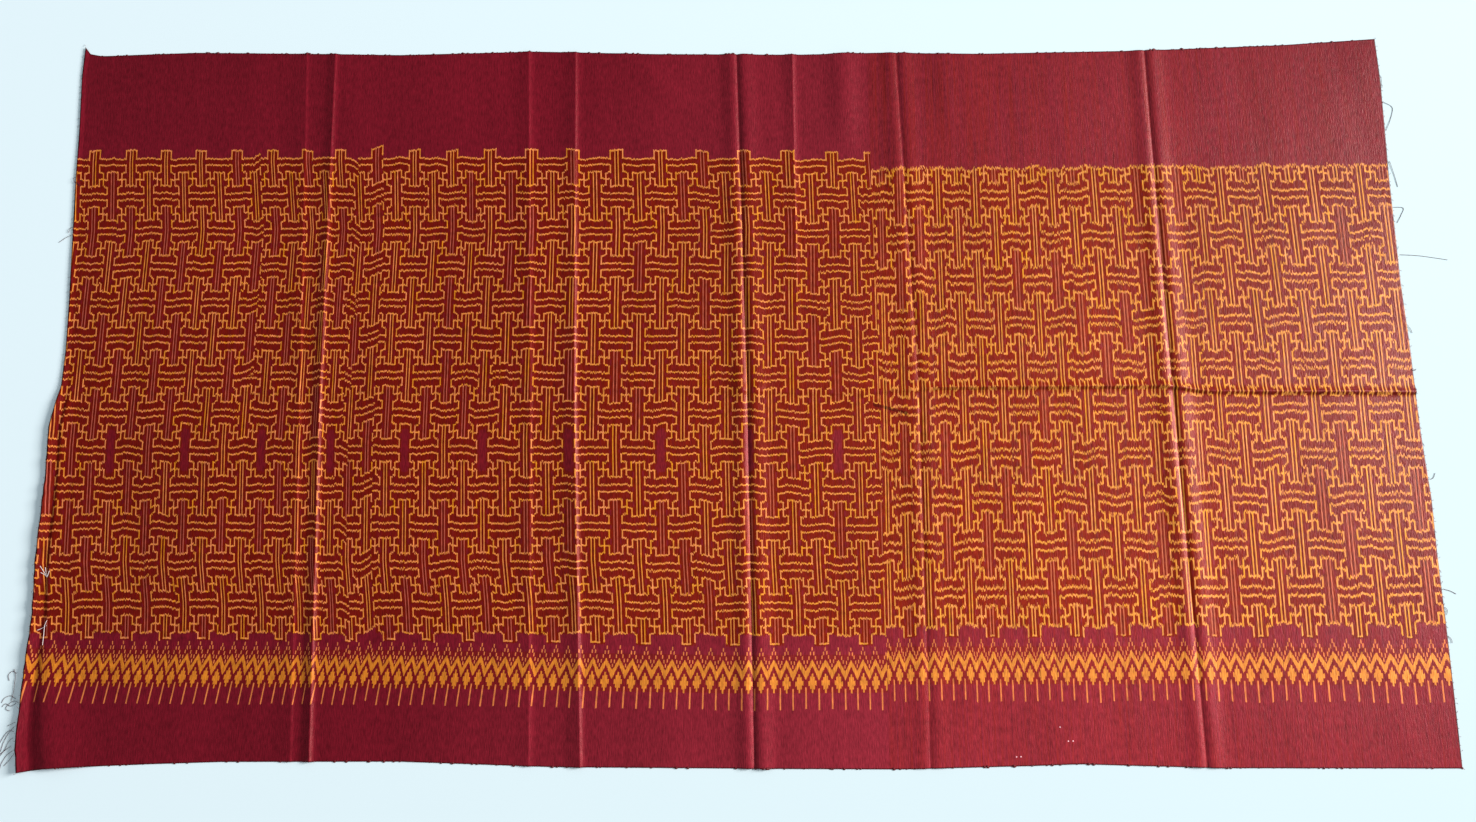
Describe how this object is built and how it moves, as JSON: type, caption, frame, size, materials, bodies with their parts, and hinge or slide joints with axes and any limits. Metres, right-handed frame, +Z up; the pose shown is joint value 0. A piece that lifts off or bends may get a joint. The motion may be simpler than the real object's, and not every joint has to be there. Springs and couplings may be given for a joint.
{
  "type": "ikat woven cloth",
  "caption": "Flat-laid rectangular length of weft-ikat silk with a key and basket pattern, a lozenge border along one side and the creases of its former folding.",
  "frame": {"origin": "centre of the bounding box at the level of the surface that the cloth lies on", "axes": "+X along the length (warp), +Y across the width (weft) away from the lozenge border, +Z up out of the worked face"},
  "size_m": [1.8474, 0.999, 0.0093],
  "materials": {
    "ikat_cloth": "closely woven silk, deep crimson ground with tied and dyed gold weft pattern, soft sheen"
  },
  "bodies": {
    "root": {"cloth": "ikat_cloth"}
  },
  "joints": []
}
